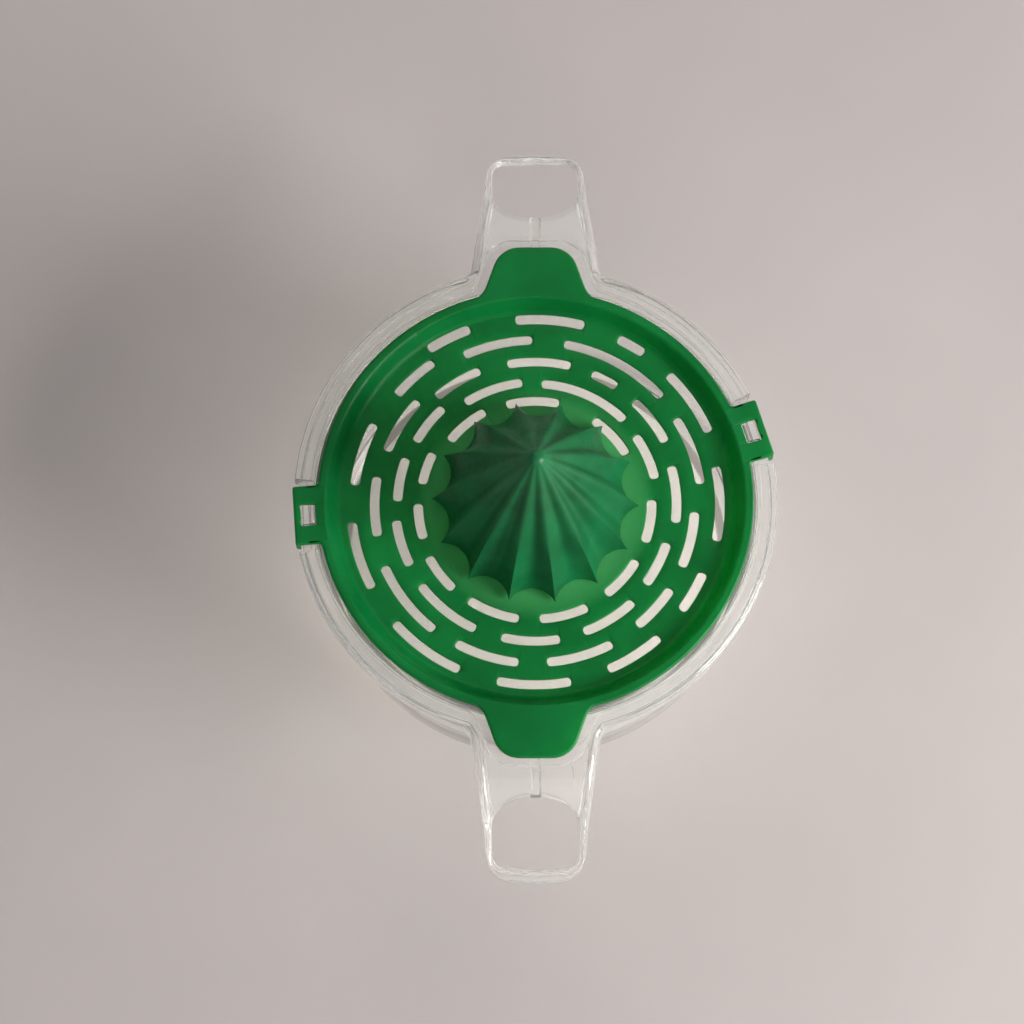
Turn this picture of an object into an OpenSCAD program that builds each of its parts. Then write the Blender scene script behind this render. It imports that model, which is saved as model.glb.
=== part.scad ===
// Hand citrus juicer: a clear jug with two handles, a drop-in strainer and a lift-off reamer.
// Millimetres, +Z up, origin at the centre of the jug's flat bottom, handles along Y.

/* [Jug] */
// Height of the jug from its bottom to the top of the flange
jug_h = 72; // [60:1:90]
// Inside radius of the jug's mouth
mouth_r = 63; // [63:0.1:63.4]
// Thickness of the jug's wall
jug_wall = 1.8; // [1.6:0.1:2.2]
// How much smaller the jug's radius is at the bottom than at the mouth
jug_taper = 1.5; // [0.5:0.1:3]
// Outside radius of the flange round the mouth
flange_r = 71; // [70.5:0.1:73]
// Depth of the skirt that turns down at the flange's edge
flange_skirt = 7; // [5:0.5:9]
// Width of the gap between the strainer's edge and the wall of its seat
seat_gap = 2.1; // [1.5:0.1:2.4]

/* [Handles] */
// Distance from the jug's axis to the end of a handle
handle_reach = 111; // [106:1:118]
// Distance from the jug's axis to the bend where a handle starts to slope down
handle_bend = 80.5; // [79.5:0.5:82]
// Slope of a handle below the bend, in degrees
handle_slope = 27; // [24:1:34]
// Thickness of a handle's top plate
handle_plate = 2.4; // [2:0.1:3]
// Thickness of the skirt round a handle
handle_wall = 2.3; // [1.8:0.1:2.6]
// Width of the finger window in a handle
window_w = 25.6; // [22:0.2:26]
// Thickness of the rib under a handle's root
rib_t = 2; // [1.5:0.1:3]

/* [Strainer] */
// Outside radius of the strainer's lip
lip_r = 64; // [63.8:0.1:64.2]
// Inside radius of the flat top of the lip
lip_inner_r = 61.4; // [61.2:0.1:61.6]
// Thickness of the lip, the tabs and the ears
lip_t = 1.6; // [1.4:0.1:2]
// Radius of the slotted floor
floor_r = 58.4; // [58.3:0.1:58.8]
// Depth of the floor below the lip, at its outer edge
dish_depth = 5.5; // [5:0.1:7]
// How much higher the floor is near the middle than at its outer edge
floor_rise = 0.5; // [0:0.1:0.8]
// Thickness of the floor and of the dish's wall
dish_wall = 1.2; // [1:0.1:1.2]
// Distance from the axis to the end of a lifting tab
tab_reach = 77; // [75:0.5:78]
// Width of an ear
ear_w = 17.6; // [16:0.2:19]
// Depth of the lip that turns down at an ear's end
ear_hook = 6.5; // [4:0.5:8]
// Length of an ear's window along the rim
ear_window_l = 6.5; // [5.5:0.1:7.5]
// Width of an ear's window across the rim
ear_window_w = 4.4; // [4:0.1:4.8]

/* [Slots] */
// Width of a slot
slot_w = 2.8; // [2:0.1:3]
// Radius of the second row of slots
row_r = 35; // [34.5:0.1:35.2]
// Distance from one row of slots to the next
row_pitch = 6.5; // [6:0.1:6.5]

/* [Reamer] */
// Number of ribs
ribs = 14; // [10:1:18]
// Radius at the tips of the ribs, at the base
rib_r = 30.4; // [28:0.2:31]
// Radius at the bottom of the flutes, at the base
flute_r = 26; // [24:0.2:27]
// Height of the reamer
reamer_h = 57.6; // [50:0.2:64]
// How far the sides bulge out from a straight cone
bulge = 0.35; // [0.2:0.05:0.5]
// Thickness of the reamer's shell behind the flutes
shell_t = 2; // [1.6:0.1:2.4]
// Gap between the reamer's base and the strainer's floor
reamer_gap = 0.8; // [0.5:0.1:1.2]

/* [Hidden] */
$fn = 144;
arc_steps = 5;

// Jug
body_r = mouth_r + jug_wall;
base_r = body_r - jug_taper;
jug_floor = 2.2;
seat_r = lip_r + seat_gap;
seat_clear = 0.1;
seat_z = jug_h - lip_t - seat_clear;
flange_t = 2;
rim_w = 1.8;
edge_round = 0.9;

// Handles
root_half = 19.3;
root_y = 68.3;
waist_half = 15.3;
waist_y = 96;
end_half = 13.9;
end_round = 7;
end_crown = 1.2;
root_skirt = 10;
end_skirt = 5;
bend_round = 25;
window_in = 87.3;
window_out = handle_reach - 3.4;
window_arch = 8.5;
window_round = 4;
past_end = handle_reach + 5;
end_drop = (past_end - handle_bend) * tan(handle_slope);

// Ears, one at each angle, and the jug's lugs that stand in their windows
ear_angles = [18, 184];
ear_reach = 71;
ear_window_r = 66.7;
hook_t = 1.5;
ear_step = 0.1;
hook_gap = 0.5;
lug_gap = 0.5;
lug_rise = 0.4;

// Rows of slots: for each row, the angles at which its slots start and end, counted from
// the row seam. The rows drift in and out a little round the floor, as the outline says.
seam = 127;
row_drift = [[0, -2], [90, 0.2], [180, -0.5], [215, -1.4], [250, 0.9], [360, 2.2]];
first_row_r = row_r - 5.6;
rows = [
    [[262, 289], [310, 339], [351, 376]],
    [[26, 43], [53, 71], [80, 100], [109, 135], [145, 169], [180, 203],
     [213, 235], [245, 268], [277, 320], [329, 357]],
    [[6, 25], [33, 52], [60, 80], [89, 118], [129, 153], [163, 187],
     [196, 216], [225, 249], [259, 280], [289, 300], [309, 334], [345, 365]],
    [[11, 33], [43, 65], [76, 105], [114, 137], [147, 171], [182, 200],
     [209, 230], [240, 265], [274, 313], [324, 348]],
    [[-2, 14], [26, 47], [59, 81], [94, 119], [131, 154], [166, 185],
     [196, 210], [221, 245], [256, 278], [288, 297], [308, 329], [343, 357]]
];

// Hub: a post on the strainer's floor that the reamer's socket slides over
post_r = 7;
post_bore = 5.4;
post_top = jug_h + 20;
fit_gap = 0.1;
shoulder_r = 12;
shoulder_h = 2.4;
key_w = 2.2;
key_reach = 8.6;
key_gap = 0.3;
socket_r = 10.4;
socket_top = jug_h + 34;

// Reamer
floor_mid_z = jug_h - dish_depth + floor_rise;
reamer_z = floor_mid_z + reamer_gap;
rib_turn = -2;
rib_steps = 8;
level_steps = 14;
tip_level = 0.965;

// ---- Outlines --------------------------------------------------------------------------

function unit(v) = v / norm(v);
function xy(p) = [p[0], p[1]];

// The arc that rounds corner b, between a and c, to radius r
function corner(a, b, c, r) =
    let (u = unit(a - b), v = unit(c - b), half = acos(u * v) / 2,
         mid = b + unit(u + v) * r / sin(half),
         p = b + u * r / tan(half) - mid, q = b + v * r / tan(half) - mid,
         turn = atan2(p[0] * q[1] - p[1] * q[0], p * q), start = atan2(p[1], p[0]))
    [for (i = [0:arc_steps]) mid + r * [cos(start + turn * i / arc_steps), sin(start + turn * i / arc_steps)]];

// An outline from corners written as [x, y, radius], with 0 for a sharp corner
function rounded(list) =
    let (n = len(list))
    [for (i = [0:n - 1])
        each list[i][2] == 0 ? [xy(list[i])]
            : corner(xy(list[(i + n - 1) % n]), xy(list[i]), xy(list[(i + 1) % n]), list[i][2])];

function flip(list) = [for (i = [len(list) - 1:-1:0]) [-list[i][0], list[i][1], list[i][2]]];

// A handle seen from above, with its edge moved in by inset
function handle_plan(inset) =
    let (half = [[root_half - inset, root_y, inset == 0 ? 5 : 0],
                 [waist_half - inset, waist_y, 60],
                 [end_half - inset, handle_reach - end_crown - inset, end_round - inset]])
    rounded(concat(inset == 0 ? [[30, 63.5, 0]] : [[root_half - inset, 60, 0]], half,
                   [[0, handle_reach - inset, 40]], flip(half),
                   inset == 0 ? [[-30, 63.5, 0], [-30, 50, 0], [30, 50, 0]] : [[inset - root_half, 60, 0]]));

// A finger window seen from above: half an ellipse towards the bowl, round corners outside
function window_plan() =
    let (half = window_w / 2, mid = window_in + window_arch)
    rounded(concat([for (a = [180:15:360]) [half * cos(a), mid + window_arch * sin(a), 0]],
                   [[half, window_out - 1, window_round], [0, window_out, 50],
                    [-half, window_out - 1, window_round]]));

// A lifting tab seen from above, with its edge moved out by grow
function tab_plan(grow) =
    let (side = [[24, 59.3 + grow, 0], [15.8 + grow, 61.5 + grow, 7], [10.3 + grow, tab_reach + grow, 8]])
    rounded(concat([[24, 50, 0]], side, flip(side), [[-24, 50, 0]]));

// ---- Jug -------------------------------------------------------------------------------

module jug_shell() {
    rotate_extrude()
        polygon(rounded([
            [0, 0, 0], [base_r, 0, 4], [body_r, seat_z - flange_t, 1.5],
            [flange_r - rim_w, seat_z - flange_t, 0.8], [flange_r - rim_w, jug_h - flange_skirt, 0],
            [flange_r, jug_h - flange_skirt, 0], [flange_r, jug_h, edge_round],
            [seat_r, jug_h, 0.4], [seat_r, seat_z, 0], [mouth_r, seat_z, 0.5],
            [base_r - jug_wall, jug_floor, 5], [0, jug_floor, 0]]));
}

// Stands an outline of [y, z] points up and runs it across the handle, w wide
module across(w, outline) {
    translate([-w / 2, 0, 0]) rotate([90, 0, 90]) linear_extrude(w) polygon(outline);
}

module handle_block() {
    difference() {
        intersection() {
            translate([0, 0, jug_h - 40]) linear_extrude(41) polygon(handle_plan(0));
            across(80, rounded([[55, jug_h, 0], [handle_bend, jug_h, bend_round], [past_end, jug_h - end_drop, 0],
                                [past_end, jug_h - end_drop - end_skirt, 0],
                                [handle_bend + 3, jug_h - root_skirt, 20], [55, jug_h - root_skirt, 0]]));
        }
        translate([0, 0, jug_h - 41]) cylinder(r = body_r - 1, h = 43);
        // the strainer's seat stays clear; the flange fills the rest of this
        translate([0, 0, seat_z - flange_t / 2]) cylinder(r = (seat_r + flange_r) / 2, h = 4);
    }
}

// The hollow under a handle's plate, inside its skirt
module handle_hollow() {
    difference() {
        intersection() {
            translate([0, 0, jug_h - 45]) linear_extrude(46) polygon(handle_plan(handle_wall));
            across(80, rounded([[55, seat_z - flange_t, 0], [handle_bend - 1, seat_z - flange_t, bend_round],
                                [past_end, jug_h - end_drop - handle_plate, 0],
                                [past_end, jug_h - 44, 0], [55, jug_h - 44, 0]]));
        }
        translate([0, 0, jug_h - 46]) cylinder(r = body_r, h = 48);
    }
}

module handle_rib() {
    across(rib_t, [[body_r - 0.5, jug_h - 3], [handle_bend - 2, jug_h - 3], [window_in, jug_h - 6],
                   [window_in, jug_h - 8.5], [handle_bend - 2, jug_h - 9], [body_r - 0.5, jug_h - 9]]);
}

// Where an ear and its turned-down end lie on the flange
module ear_seat() {
    translate([mouth_r - 1, -ear_w / 2 - seat_gap, seat_z - ear_step])
        cube([flange_r - mouth_r + 2, ear_w + 2 * seat_gap, 4]);
    translate([ear_reach - hook_t - hook_gap, -ear_w / 2 - seat_gap, jug_h - flange_skirt - 1])
        cube([4, ear_w + 2 * seat_gap, flange_skirt + 2]);
}

module lug() {
    w = ear_window_w - 2 * lug_gap;
    l = ear_window_l - 2 * lug_gap;
    translate([ear_window_r - w / 2, -l / 2, seat_z - 1]) cube([w, l, jug_h + lug_rise - seat_z + 1]);
}

module jug() {
    color([0.86, 0.9, 0.9, 0.4]) {
        difference() {
            union() {
                jug_shell();
                for (a = [0, 180]) rotate(a) handle_block();
            }
            for (a = [0, 180]) rotate(a) {
                handle_hollow();
                translate([0, 0, jug_h - 45]) linear_extrude(50) polygon(window_plan());
                translate([0, 0, seat_z]) linear_extrude(4) difference() {
                    polygon(tab_plan(seat_gap));
                    circle(r = mouth_r);
                }
            }
            for (a = ear_angles) rotate(a) ear_seat();
        }
        for (a = [0, 180]) rotate(a) handle_rib();
        for (a = ear_angles) rotate(a) lug();
    }
}

// ---- Strainer --------------------------------------------------------------------------

// The dish with its lip, floor and hollow hub post, as one turned section
module dish() {
    edge_z = jug_h - dish_depth;
    rotate_extrude()
        polygon(rounded([
            [post_bore, floor_mid_z - dish_wall, 0], [floor_r - 2, edge_z - dish_wall, 2.5],
            [lip_inner_r + 1, jug_h - lip_t, 0.3], [lip_r, jug_h - lip_t, 0], [lip_r, jug_h, 0.6],
            [lip_inner_r, jug_h, 0.6], [floor_r, edge_z, 1.5],
            [shoulder_r, floor_mid_z, 0.8], [shoulder_r, floor_mid_z + shoulder_h, 0],
            [post_r, floor_mid_z + shoulder_h, 0], [post_r, post_top, 1.2],
            [0, post_top, 0], [0, post_top - dish_wall, 0], [post_bore, post_top - dish_wall, 0]]));
}

// One slot seen from above: two arcs about the strainer's axis, joined by two round ends
function arc(mid, r, from, to, steps) =
    [for (i = [0:steps]) let (a = from + (to - from) * i / steps) mid + r * [cos(a), sin(a)]];
function slot_plan(r, from, to) =
    let (w = slot_w / 2, end = asin(w / r), a = from + end, b = to - end, steps = ceil((b - a) / 4))
    concat(arc([0, 0], r + w, a, b, steps),
           arc(r * [cos(b), sin(b)], w, b + 30, b + 150, 4),
           arc([0, 0], r - w, b, a, steps),
           arc(r * [cos(a), sin(a)], w, a + 210, a + 330, 4));

module slot(r, from, to) {
    translate([0, 0, jug_h - dish_depth - 4]) linear_extrude(8) polygon(slot_plan(r, from, to));
}

module slots() {
    for (k = [0:len(rows) - 1], s = rows[k])
        slot((k == 0 ? first_row_r : row_r + (k - 1) * row_pitch) + lookup((s[0] + s[1]) / 2, row_drift),
             seam + s[0], seam + s[1]);
}

module ear() {
    difference() {
        union() {
            translate([lip_inner_r + 0.8, -ear_w / 2, jug_h - lip_t + ear_step])
                cube([ear_reach - lip_inner_r - 0.8, ear_w, lip_t - 2 * ear_step]);
            translate([ear_reach - hook_t, -ear_w / 2, jug_h - ear_hook])
                cube([hook_t, ear_w, ear_hook - ear_step]);
        }
        translate([ear_window_r - ear_window_w / 2, -ear_window_l / 2, jug_h - lip_t - 1])
            cube([ear_window_w, ear_window_l, lip_t + 2]);
        // the window's two outer corners run on as small notches
        for (side = [-1, 1])
            translate([ear_window_r + ear_window_w / 2, side * (ear_window_l / 2 - 1), jug_h - lip_t - 1])
                cylinder(r = 0.7, h = lip_t + 2, $fn = 24);
    }
}

module key(w, reach, bottom, top) {
    translate([0, -w / 2, bottom]) cube([reach, w, top - bottom]);
}

module strainer() {
    color([0.02, 0.5, 0.25]) {
        difference() {
            dish();
            slots();
        }
        for (a = [0, 180]) rotate(a) translate([0, 0, jug_h - lip_t]) linear_extrude(lip_t) difference() {
            polygon(tab_plan(0));
            circle(r = lip_inner_r + 0.6);
        }
        for (a = ear_angles) rotate(a) ear();
        difference() {
            key(key_w, key_reach, floor_mid_z + 1, jug_h + 12);
            translate([0, 0, floor_mid_z]) cylinder(r = post_r - 0.5, h = 30);
        }
    }
}

// ---- Reamer ----------------------------------------------------------------------------

// Size of the reamer's section at level t, from 1 at the base to 0 at the point
function taper(t) = (1 - t) * (1 + bulge * t);

// Radius of the fluted section at angle a from the middle of a flute: each flute is the arc of
// a circle whose centre stands outside the reamer
flute_half = 180 / ribs;
flute_arc = (rib_r * rib_r + flute_r * flute_r - 2 * rib_r * flute_r * cos(flute_half))
    / (2 * (rib_r * cos(flute_half) - flute_r));
function flute(a) =
    let (c = flute_r + flute_arc) c * cos(a) - sqrt(flute_arc * flute_arc - pow(c * sin(a), 2));

function flute_ring(t) =
    [for (k = [0:ribs - 1], i = [0:rib_steps - 1])
        let (a = (i / rib_steps - 0.5) * 2 * flute_half, turn = rib_turn + (2 * k + 1) * flute_half)
        [taper(t) * flute(a) * cos(turn + a), taper(t) * flute(a) * sin(turn + a), reamer_z + t * reamer_h]];

// The fluted cone: rings of points stacked up to a small rounded point
module fluted_cone() {
    n = ribs * rib_steps;
    levels = [for (j = [0:level_steps]) tip_level * sin(90 * j / level_steps)];
    points = concat([for (t = levels) each flute_ring(t)],
                    [[0, 0, reamer_z], [0, 0, reamer_z + reamer_h * (tip_level + 0.015)]]);
    side = [for (j = [0:level_steps - 1], i = [0:n - 1])
        let (a = j * n + i, b = j * n + (i + 1) % n)
        each [[a, a + n, b], [b, a + n, b + n]]];
    bottom = [for (i = [0:n - 1]) [i, (i + 1) % n, len(points) - 2]];
    top = [for (i = [0:n - 1])
        [level_steps * n + (i + 1) % n, level_steps * n + i, len(points) - 1]];
    polyhedron(points, concat(side, bottom, top));
}

// The hollow behind the flutes
module reamer_hollow() {
    levels = [0:0.1:0.8];
    top = 0.8;
    rotate_extrude()
        polygon(concat([[0, reamer_z - 1], [flute_r - shell_t, reamer_z - 1]],
                       [for (t = levels) [flute_r * taper(t) - shell_t, reamer_z + t * reamer_h]],
                       [[0, reamer_z + top * reamer_h]]));
}

module reamer() {
    color([0.01, 0.38, 0.18]) difference() {
        union() {
            difference() {
                fluted_cone();
                reamer_hollow();
            }
            translate([0, 0, floor_mid_z + shoulder_h + fit_gap])
                cylinder(r = socket_r, h = socket_top - floor_mid_z - shoulder_h - fit_gap);
        }
        translate([0, 0, floor_mid_z]) cylinder(r = post_r + fit_gap, h = post_top + 2 - floor_mid_z);
        key(key_w + 2 * key_gap, key_reach + key_gap, floor_mid_z, jug_h + 13);
    }
}

jug();
strainer();
reamer();
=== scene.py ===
"""Looks of a hand citrus juicer: a clear jug with two handles, a drop-in strainer and a lift-off reamer.

Millimetres are used in the working, and each mesh is written in metres, +Z up, handles along Y."""

import bmesh
import bpy
import numpy as np
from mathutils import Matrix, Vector


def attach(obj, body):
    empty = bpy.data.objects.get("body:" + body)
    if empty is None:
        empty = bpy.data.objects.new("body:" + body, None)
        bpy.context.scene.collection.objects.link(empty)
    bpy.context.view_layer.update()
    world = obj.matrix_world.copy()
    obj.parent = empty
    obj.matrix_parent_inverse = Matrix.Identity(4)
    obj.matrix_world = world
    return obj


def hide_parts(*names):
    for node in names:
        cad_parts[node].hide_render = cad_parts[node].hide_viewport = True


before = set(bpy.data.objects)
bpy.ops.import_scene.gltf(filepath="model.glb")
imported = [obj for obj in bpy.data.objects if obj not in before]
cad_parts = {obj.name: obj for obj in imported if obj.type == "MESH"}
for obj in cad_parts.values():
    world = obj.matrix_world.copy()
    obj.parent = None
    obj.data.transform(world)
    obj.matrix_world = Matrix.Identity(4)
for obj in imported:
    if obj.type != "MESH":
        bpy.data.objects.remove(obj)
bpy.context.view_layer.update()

MM = 0.001
pi = np.pi

# ---- Sizes, in millimetres ---------------------------------------------------------------

JUG_TOP = 72.0
MOUTH_R = 63.0
BODY_R = 64.8
BASE_R = 63.3
FLANGE_R = 71.0
FLANGE_UNDER = 68.3
SKIRT_END = 65.0
RIM_WALL = 1.8
HANDLE_WALL = 2.3
SEAT_R = 66.1
SEAT_Z = 70.3
EAR_SEAT_Z = 70.2
EAR_CUT = 69.0
JUG_FLOOR = 2.2
FOOT_R = 59.36
FOOT_ROUND = 4.0
BASE_RECESS = 0.6
FLOOR_ROUND = 5.0
EDGE_ROUND = 0.9
LUG_RISE = 2.2

HANDLE_END = 111.0
HANDLE_BEND = 80.5
BEND_ROUND = 25.0
PAST_END = 116.0
PAST_END_Z = 53.91
HANDLE_PLATE = 2.4
HANDLE_SKIRT = 5.0
ROOT_Z = 62.0
WINDOW_HALF = 12.8
WINDOW_MID = 95.8
WINDOW_ARCH = 8.5
WINDOW_OUT = 107.6
STIFFENER_END = 87.4

LIP_R = 64.0
LIP_IN = 61.4
LIP_UNDER = 70.4
FLOOR_R = 58.4
FLOOR_UNDER = 65.8
FLOOR_EDGE_Z = 66.5
FLOOR_MID_Z = 67.0
TAB_END = 77.0
TAB_HALF = 10.3
SHOULDER_R = 12.0
POST_R = 7.0
POST_TOP = 92.0
POST_BORE = 5.4
EAR_HALF = 8.8
EAR_END = 71.0
EAR_ANGLES = np.radians([18.0, 184.0])
EAR_WINDOW_R = 66.7
EAR_WINDOW_HALF = 2.2
EAR_WINDOW_SIDE = 3.25
HOOK_IN = 69.5
HOOK_Z = 65.5
# Painted sheen: inner and outer reach, in metres, of a paler disc of colour round the hub, standing in for
# light caught on the floor there.
PAINTED_SHEEN_DISC = (0.029, 0.034)

SEAM = 127.0
SLOT_HALF = 1.4
ROW_R = [29.4, 35.0, 41.5, 48.0, 54.5]
ROW_DRIFT = [[0, -2], [90, 0.2], [180, -0.5], [215, -1.4], [250, 0.9], [360, 2.2]]
ROWS = [
    [[262, 289], [310, 339], [351, 376]],
    [[26, 43], [53, 71], [80, 100], [109, 135], [145, 169], [180, 203],
     [213, 235], [245, 268], [277, 320], [329, 357]],
    [[6, 25], [33, 52], [60, 80], [89, 118], [129, 153], [163, 187],
     [196, 216], [225, 249], [259, 280], [289, 300], [309, 334], [345, 365]],
    [[11, 33], [43, 65], [76, 105], [114, 137], [147, 171], [182, 200],
     [209, 230], [240, 265], [274, 313], [324, 348]],
    [[-2, 14], [26, 47], [59, 81], [94, 119], [131, 154], [166, 185],
     [196, 210], [221, 245], [256, 278], [288, 297], [308, 329], [343, 357]],
]

RIBS = 14
RIB_R = 30.8
FLUTE_R = 26.0
REAMER_Z = 67.8
REAMER_H = 57.6
BULGE = 0.35
TIP_R = 3.0
SOCKET_R = 10.4
SOCKET_BORE = 7.1
SOCKET_Z = 69.5
SOCKET_ROOF = 94.0
SHELL = 2.0
WAVE_R = 28.0
TIP_RING_R = 28.2


# ---- Outlines ----------------------------------------------------------------------------

def unit(v):
    """Each row of v divided by its own length."""
    return v / np.maximum(np.linalg.norm(v, axis=-1, keepdims=True), 1e-12)


def rounded(corners, count=12):
    """An outline from rows of x, y and radius: each corner becomes the arc that touches both its sides."""
    c = np.asarray(corners, float)
    p, radius = c[:, :2], c[:, 2]
    u, v = unit(np.roll(p, 1, 0) - p), unit(np.roll(p, -1, 0) - p)
    half = np.arccos(np.clip((u * v).sum(1), -1, 1)) / 2
    mid = p + unit(u + v) * (radius / np.sin(half))[:, None]
    reach = (radius / np.tan(half))[:, None]
    a, b = p + u * reach - mid, p + v * reach - mid
    turn = np.arctan2(a[:, 0] * b[:, 1] - a[:, 1] * b[:, 0], (a * b).sum(1))
    angle = np.arctan2(a[:, 1], a[:, 0])[:, None] + turn[:, None] * np.linspace(0, 1, count)
    arc = radius[:, None, None] * np.stack([np.cos(angle), np.sin(angle)], -1)
    return (mid[:, None, :] + arc).reshape(-1, 2)


def dense(points, step=0.02):
    """The same line with points a step apart: both coordinates read evenly along its length."""
    length = np.r_[0, np.cumsum(np.hypot(*np.diff(points, axis=0).T))]
    at = np.arange(0, length[-1], step)
    return np.column_stack([np.interp(at, length, points[:, 0]), np.interp(at, length, points[:, 1])])


def wrap(angle, turn=2 * pi):
    """The angle brought to within half a turn of zero."""
    return (np.asarray(angle) + turn / 2) % turn - turn / 2


def radius_from(points, angle, plain):
    """Radius of an outline at each angle from its own middle line: its points sorted by angle and read
    between, or the plain circle's radius where that is larger."""
    a = np.arctan2(points[:, 1], points[:, 0])
    order = np.argsort(a)
    read = np.interp(angle, a[order], np.hypot(*points.T)[order], left=0, right=0)
    return np.maximum(plain, read)


def handle_outline():
    """Half of a handle's outline with its middle line along x: end, rounded corner, waist, hollow root."""
    side = [[HANDLE_END, -5, 0], [HANDLE_END, 0, 40], [HANDLE_END - 1.2, 13.9, 7],
            [96, 15.3, 60], [68.3, 19.3, 5], [63.5, 30, 0]]
    return dense(rounded(side)[11:-11])


def tab_outline(grow):
    """Half of a lifting tab's outline, moved out by grow: end, rounded corner, hollow root."""
    side = [[TAB_END + grow, -TAB_HALF - grow, 0], [TAB_END + grow, TAB_HALF + grow, 8],
            [61.5 + grow, 15.8 + grow, 7], [59.3 + grow, 24, 0]]
    line = dense(rounded(side)[11:-11])
    return line[line[:, 1] > -1]


def ear_outline():
    """An ear's outline with its middle line along x: hollow root, rounded outer corner, and the mirror."""
    half = [[63.1, 10.6, 0], [63.4, EAR_HALF, 1.2], [EAR_END, EAR_HALF, 0.7]]
    both = half + [[x, -y, r] for x, y, r in half[::-1]]
    return dense(rounded(both)[11:-11], 0.01)


def window_outline():
    """Half of a finger window's outline with its middle line along x: half an ellipse inwards, and
    round corners outside."""
    a = np.radians(np.linspace(0, 90, 60))
    arch = np.column_stack([WINDOW_MID - WINDOW_ARCH * np.sin(a), WINDOW_HALF * np.cos(a)])[::-1]
    corners = rounded([[WINDOW_MID, WINDOW_HALF, 0], [WINDOW_OUT - 1, WINDOW_HALF, 4], [WINDOW_OUT, 0, 50],
                       [WINDOW_OUT - 1, -WINDOW_HALF, 4]], 30)[30:90]
    line = dense(np.vstack([arch, corners]))
    return line[line[:, 1] > -0.01]


class Outline:
    """A closed outline as a radius at every angle, which can be moved in by a depth along its own normal."""

    turn = np.linspace(-pi, pi, 36001)

    def __init__(self, radius):
        self.point = radius[:, None] * np.column_stack([np.cos(self.turn), np.sin(self.turn)])
        along = np.gradient(self.point, axis=0)
        self.out = unit(np.column_stack([along[:, 1], -along[:, 0]]))

    def inset(self, depth, angle):
        """Radius at each angle once every point has stepped inwards by depth."""
        depth = np.interp(self.turn, angle, depth) if np.ndim(depth) else depth
        moved = self.point - self.out * np.broadcast_to(depth, self.turn.shape)[:, None]
        a = np.maximum.accumulate(np.unwrap(np.arctan2(moved[:, 1], moved[:, 0])))
        return np.interp(angle, a, np.hypot(*moved.T), period=2 * pi)


# ---- Turned skins ------------------------------------------------------------------------

class Skin:
    """A closed surface on a grid: every row runs once round the axis at the same angles, and holds a
    radius and a height for each angle. Rows follow each other with the outside on their right."""

    def __init__(self, angle):
        self.angle, self.turned, self.radius, self.height = angle, [], [], []
        self.gaps, self.walls = set(), []

    def row(self, radius, height, angle=None):
        """Adds a row and gives its number; a row near the axis may bring coarser angles of its own."""
        self.turned.append(self.angle if angle is None else angle)
        self.radius.append(np.broadcast_to(radius, self.angle.shape).astype(float))
        self.height.append(np.broadcast_to(height, self.angle.shape).astype(float))
        return len(self.radius) - 1

    def build(self, name, sharp=50):
        """Quads between each row and the next, left out at the gaps, and walls down the sides of the
        openings; points that coincide are merged, and edges sharper than an angle stay crisp."""
        radius, height, turned = np.array(self.radius), np.array(self.height), np.array(self.turned)
        points = np.stack([radius * np.cos(turned), radius * np.sin(turned), height], -1)
        rows, columns = radius.shape
        here = np.arange(columns)
        after = np.roll(here, -1)
        strips = [(k, k + 1, np.ones(columns, bool)) for k in range(rows - 1) if k not in self.gaps]
        once_round = np.column_stack([here, after, after, here])
        quads = np.vstack([(once_round + columns * np.array([a, a, b, b]))[keep]
                           for a, b, keep in strips + self.walls])
        mesh = bpy.data.meshes.new(name)
        mesh.from_pydata((points.reshape(-1, 3) * MM).tolist(), [], quads.tolist())
        work = bmesh.new()
        work.from_mesh(mesh)
        bmesh.ops.remove_doubles(work, verts=work.verts, dist=2e-6)
        bmesh.ops.delete(work, geom=[v for v in work.verts if not v.link_faces], context="VERTS")
        work.to_mesh(mesh)
        work.free()
        mesh.shade_smooth()
        mesh.set_sharp_from_angle(angle=np.radians(sharp))
        piece = bpy.data.objects.new(name, mesh)
        bpy.context.scene.collection.objects.link(piece)
        return piece


def curve(x, line):
    """Height read from a line of x, height points."""
    return np.interp(x, line[:, 0], line[:, 1])


def quarter(count):
    """Even steps round a quarter turn as (1 - cos, 1 - sin): from (0, 1) at its start to (1, 0)."""
    t = np.linspace(0, pi / 2, count)
    return list(zip(1 - np.cos(t), 1 - np.sin(t)))


def fall(distance, size):
    """How far a rounded edge of that size has dropped at a distance from it: a quarter circle."""
    left = np.clip(size - distance, 0, size)
    return size - np.sqrt(np.maximum(size * size - left * left, 0))


# ---- Jug ---------------------------------------------------------------------------------

def jug_angles(window_edge):
    """Angles for the jug's grid: close together at the handles' corners, the windows' sides and the ears."""
    half = np.r_[
        window_edge * np.sin(np.linspace(0, pi / 2, 34)),
        window_edge + np.radians([0.05, 0.12]),
        np.radians(np.linspace(7.85, 15, 42)), np.radians(np.linspace(15.2, 19, 16)),
        np.radians(np.arange(20, 91, 1.0))]
    both = np.r_[-half[1:], half]
    ear = np.radians([0, 0.8, 1.6, 2.0, 2.2, 2.3, 2.36, 2.4, 2.6, 3.4, 5, 7, 8.3, 8.7, 8.84, 8.9, 9.0,
                      9.06, 9.2, 9.6])
    ears = np.concatenate([e + np.r_[-ear[1:], ear] for e in EAR_ANGLES])
    plain = np.concatenate([pi / 2 + both, -pi / 2 + both])
    far = np.min(np.abs(wrap(plain[:, None] - EAR_ANGLES)), 1) > np.radians(9.9)
    every = np.sort(wrap(np.r_[plain[far], ears]))
    return every[np.r_[True, np.diff(every) > 2e-5]]


def bent(start, end_z, bend_y, bend_round):
    """A line flat at a height up to a bend, round the bend, and straight down past the handle's end."""
    line = rounded([[0, start, 0], [bend_y, start, bend_round],
                    [PAST_END, end_z, 0], [PAST_END, end_z - 9, 0]], 40)
    return np.vstack([[0, start], line[40:80], [PAST_END, end_z]])


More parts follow.
